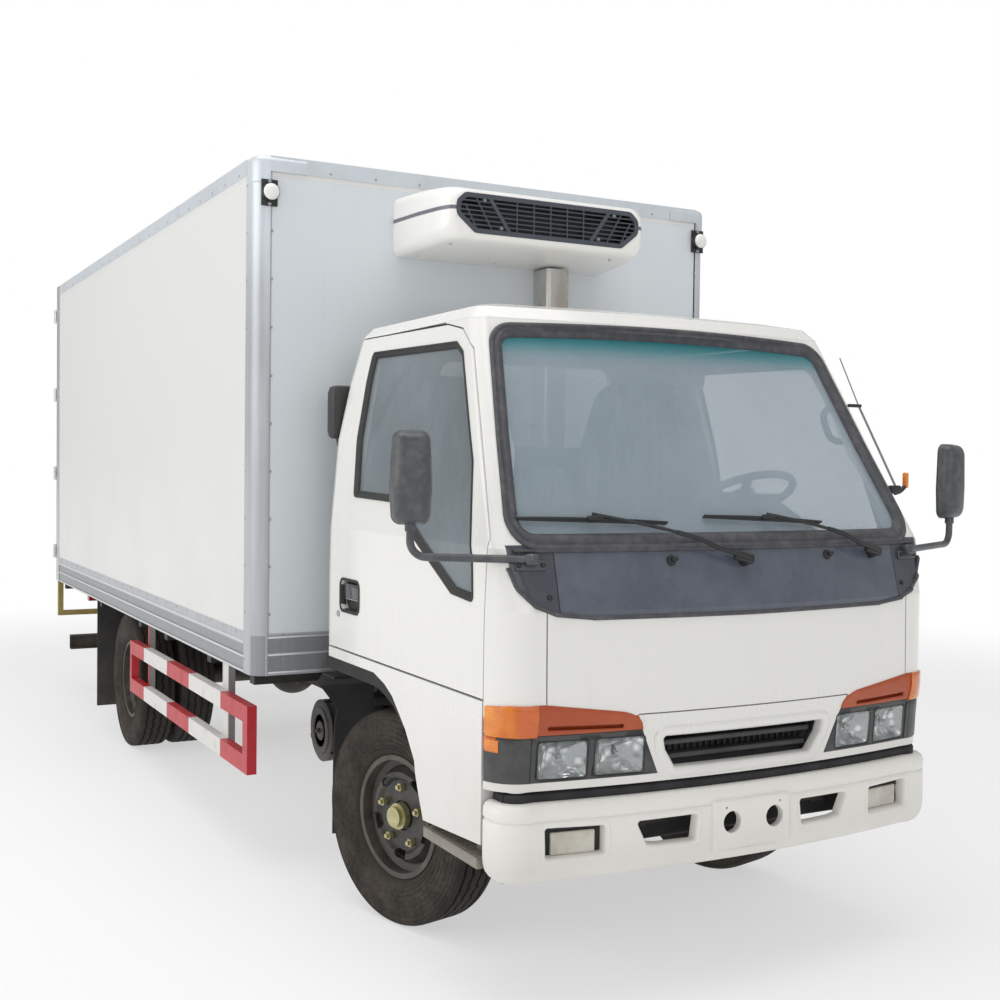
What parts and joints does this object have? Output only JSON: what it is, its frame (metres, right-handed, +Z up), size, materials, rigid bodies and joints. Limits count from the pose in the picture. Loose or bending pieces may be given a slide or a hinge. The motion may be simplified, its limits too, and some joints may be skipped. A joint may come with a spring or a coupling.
{
  "type": "refrigerated truck",
  "caption": "Light cab-over truck with an insulated cooled box, hinged rear doors, tilting cab, opening cab doors and steering front wheels.",
  "frame": {"origin": "on the ground under the middle of the whole vehicle", "axes": "+X forward, +Y to the vehicle's left, +Z up"},
  "size_m": [6.235, 2.322, 2.808],
  "materials": {
    "chassis_black": "satin black chassis paint, dusty",
    "axle_black": "black paint with road dirt",
    "spring_steel": "black steel leaves",
    "engine_grey": "grey painted iron",
    "exhaust_steel": "aluminised steel, rusty at the joints",
    "tank_grey": "dark painted steel",
    "cleaner_black": "dusty black steel",
    "bumper_white": "cream white gloss",
    "box_underside": "grey floor skin",
    "front_wall_white": "cool white fibreglass skin",
    "side_wall_white": "white fibreglass skin",
    "roof_white": "white fibreglass skin",
    "aluminium_profile": "mill finish extrusion",
    "stainless_frame": "brushed stainless",
    "rear_door_white": "white fibreglass skin",
    "unit_white": "white moulded cover",
    "stainless_duct": "bright stainless sheet",
    "guard_paint": "white paint with red bands",
    "flap_rubber": "black rubber and plastic",
    "zinc_yellow": "yellow zinc plated tube",
    "lamp_red": "red lamp lens",
    "lamp_clear": "lamp housing and lens",
    "cab_paint": "warm white gloss paint",
    "tread_aluminium": "worn tread plate",
    "cowl_plastic": "slate black plastic",
    "screen_glass": "laminated glass",
    "side_glass": "tempered glass",
    "grille_plastic": "black plastic",
    "mirror_plastic": "dark textured plastic",
    "dash_plastic": "grey grained plastic",
    "wheel_plastic": "black rim",
    "seat_cloth": "blue grey cloth",
    "tyre_rubber": "dusty rubber",
    "wheel_steel": "black pressed steel"
  },
  "bodies": {
    "chassis": {"frame_rails": "chassis_black", "cross_members": "chassis_black", "axles": "axle_black", "leaf_springs": "spring_steel", "propeller_shaft": "axle_black", "engine": "engine_grey", "exhaust": "exhaust_steel", "fuel_tank": "tank_grey", "air_cleaner": "cleaner_black", "bumper": "bumper_white", "box_floor": "box_underside", "box_front_wall": "front_wall_white", "box_side_walls": "side_wall_white", "box_roof": "roof_white", "box_edge_profiles": "aluminium_profile", "box_rear_frame": "stainless_frame", "box_bearers": "chassis_black", "cooling_unit": "unit_white", "pipe_duct": "stainless_duct", "side_guards": "guard_paint", "mud_flaps": "flap_rubber", "underrun_bar": "chassis_black", "rear_step": "zinc_yellow", "rear_lamps": "lamp_red", "marker_lamps": "lamp_clear"},
    "cab": {"cab_floor": "cab_paint", "cab_steps": "tread_aluminium", "cab_back": "cab_paint", "rear_window": "side_glass", "cab_roof": "cab_paint", "windshield_frame": "cab_paint", "front_panel": "cab_paint", "cowl_panel": "cowl_plastic", "windshield": "screen_glass", "headlamps": "lamp_clear", "grille": "grille_plastic", "mirrors": "mirror_plastic", "dashboard": "dash_plastic", "steering_wheel": "wheel_plastic", "seats": "seat_cloth"},
    "cab_door_left": {"door_left": "cab_paint", "door_glass_left": "side_glass"},
    "cab_door_right": {"door_right": "cab_paint", "door_glass_right": "side_glass"},
    "steer_left": {"knuckle_left": "axle_black"},
    "steer_right": {"knuckle_right": "axle_black"},
    "front_wheel_left": {"front_tyre_left": "tyre_rubber", "front_rim_left": "wheel_steel"},
    "front_wheel_right": {"front_tyre_right": "tyre_rubber", "front_rim_right": "wheel_steel"},
    "rear_wheels_left": {"rear_tyres_left": "tyre_rubber", "rear_rim_left": "wheel_steel"},
    "rear_wheels_right": {"rear_tyres_right": "tyre_rubber", "rear_rim_right": "wheel_steel"},
    "box_door_left": {"rear_door_left": "rear_door_white"},
    "box_door_right": {"rear_door_right": "rear_door_white"}
  },
  "joints": [
    {"name": "cab_tilt", "type": "hinge", "parent": "chassis", "child": "cab", "pos_m": [3.0515, 0, 0.6], "axis": [0, 1, 0], "range_deg": [0, 45]},
    {"name": "cab_door_left_swing", "type": "hinge", "parent": "cab", "child": "cab_door_left", "pos_m": [2.8965, 0.847, 1.1], "axis": [0, 0, -1], "range_deg": [0, 65]},
    {"name": "cab_door_right_swing", "type": "hinge", "parent": "cab", "child": "cab_door_right", "pos_m": [2.8965, -0.847, 1.1], "axis": [0, 0, 1], "range_deg": [0, 65]},
    {"name": "steer_left_turn", "type": "hinge", "parent": "chassis", "child": "steer_left", "pos_m": [2.0515, 0.62, 0.378], "axis": [0, 0, 1], "range_deg": [-47.4, 18.6]},
    {"name": "steer_right_turn", "type": "hinge", "parent": "chassis", "child": "steer_right", "pos_m": [2.0515, -0.62, 0.378], "axis": [0, 0, 1], "range_deg": [-47.4, 18.6]},
    {"name": "front_wheel_left_spin", "type": "hinge", "parent": "steer_left", "child": "front_wheel_left", "pos_m": [2.03347, 0.69022, 0.378], "axis": [-0.2487, 0.9686, 0], "continuous": true},
    {"name": "front_wheel_right_spin", "type": "hinge", "parent": "steer_right", "child": "front_wheel_right", "pos_m": [2.06953, -0.69022, 0.378], "axis": [-0.2487, 0.9686, 0], "continuous": true},
    {"name": "rear_wheels_left_spin", "type": "hinge", "parent": "chassis", "child": "rear_wheels_left", "pos_m": [-1.2045, 0.785, 0.378], "axis": [0, 1, 0], "continuous": true},
    {"name": "rear_wheels_right_spin", "type": "hinge", "parent": "chassis", "child": "rear_wheels_right", "pos_m": [-1.2045, -0.785, 0.378], "axis": [0, 1, 0], "continuous": true},
    {"name": "box_door_left_swing", "type": "hinge", "parent": "chassis", "child": "box_door_left", "pos_m": [-3.085, 1.0755, 1.8], "axis": [0, 0, -1], "range_deg": [0, 255]},
    {"name": "box_door_right_swing", "type": "hinge", "parent": "chassis", "child": "box_door_right", "pos_m": [-3.085, -1.0755, 1.8], "axis": [0, 0, 1], "range_deg": [0, 255]}
  ],
  "couplings": [
    {"joint": "steer_right_turn", "follows": "steer_left_turn", "ratio": 1}
  ]
}
